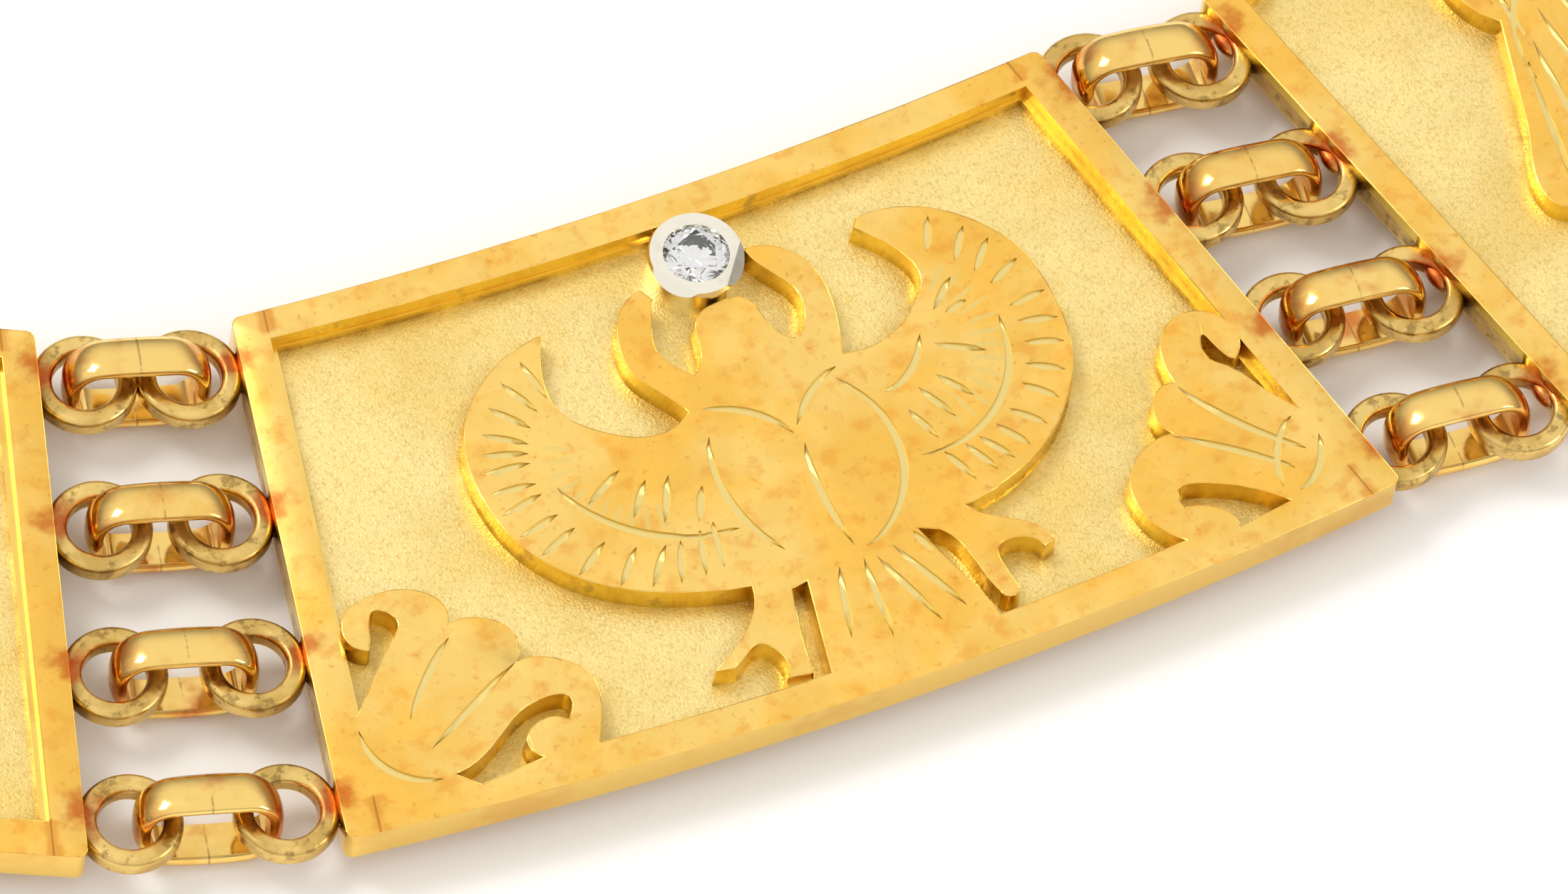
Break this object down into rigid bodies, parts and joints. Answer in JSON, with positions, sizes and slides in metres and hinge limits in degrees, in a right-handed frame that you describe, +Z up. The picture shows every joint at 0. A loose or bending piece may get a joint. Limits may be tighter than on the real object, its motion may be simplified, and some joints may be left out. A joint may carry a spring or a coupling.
{
  "type": "gold collar necklace",
  "caption": "Closed collar of gold plaques with raised scarab and falcon reliefs, joined by side rings and band links, small bezel-set stones",
  "frame": {"origin": "middle of the collar's bounding box on the surface that it lies on", "axes": "+Z up, out of the faces of the plaques; the front plaque is towards -Y, with its upper edge towards +Y"},
  "size_m": [0.1596, 0.158, 0.0028],
  "materials": {
    "gold_plaque": "satin gold, blasted field",
    "gold_link": "polished gold with tarnish",
    "white_metal": "polished white gold",
    "brilliant": "faceted clear stone"
  },
  "bodies": {
    "root": {"plaque_00": "gold_plaque", "plaque_01": "gold_plaque", "plaque_02": "gold_plaque", "plaque_03": "gold_plaque", "plaque_04": "gold_plaque", "plaque_05": "gold_plaque", "plaque_06": "gold_plaque", "plaque_07": "gold_plaque", "plaque_08": "gold_plaque", "plaque_09": "gold_plaque", "plaque_10": "gold_plaque", "plaque_11": "gold_plaque", "bezel_00": "white_metal", "bezel_02": "white_metal", "bezel_04": "white_metal", "bezel_06": "white_metal", "bezel_08": "white_metal", "bezel_10": "white_metal", "brilliant_00": "brilliant", "brilliant_02": "brilliant", "brilliant_04": "brilliant", "brilliant_06": "brilliant", "brilliant_08": "brilliant", "brilliant_10": "brilliant", "links_00": "gold_link", "links_01": "gold_link", "links_02": "gold_link", "links_03": "gold_link", "links_04": "gold_link", "links_06": "gold_link", "links_07": "gold_link", "links_08": "gold_link", "links_09": "gold_link", "links_10": "gold_link", "links_11": "gold_link", "clasp": "gold_link"}
  },
  "joints": []
}
